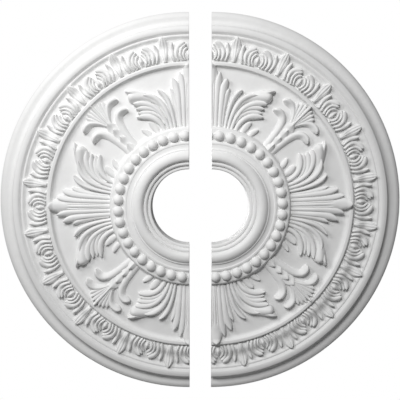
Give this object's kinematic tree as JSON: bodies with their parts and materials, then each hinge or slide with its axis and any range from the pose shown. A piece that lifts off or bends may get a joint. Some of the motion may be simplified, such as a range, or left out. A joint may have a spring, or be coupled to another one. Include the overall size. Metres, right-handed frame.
{
  "type": "ceiling rose",
  "caption": "Round moulded ceiling rose in two halves with a centre hole, bead ring, palmettes, lilies and a leaf border, to be fixed flat over a ceiling fitting.",
  "frame": {"origin": "centre of the rose on the plane of its flat back, in the middle of the centre hole and of the gap between the halves", "axes": "+Y out of the flat back, into the ceiling that the rose is fixed to; the carved face looks along -Y; +Z along the split, up as the rose is pictured; +X from the left half to the right half"},
  "size_m": [0.8066, 0.0434, 0.762],
  "materials": {
    "white_primed_face": "matt white primer on moulded rigid foam"
  },
  "bodies": {
    "root": {"left_half": "white_primed_face", "right_half": "white_primed_face"}
  },
  "joints": []
}
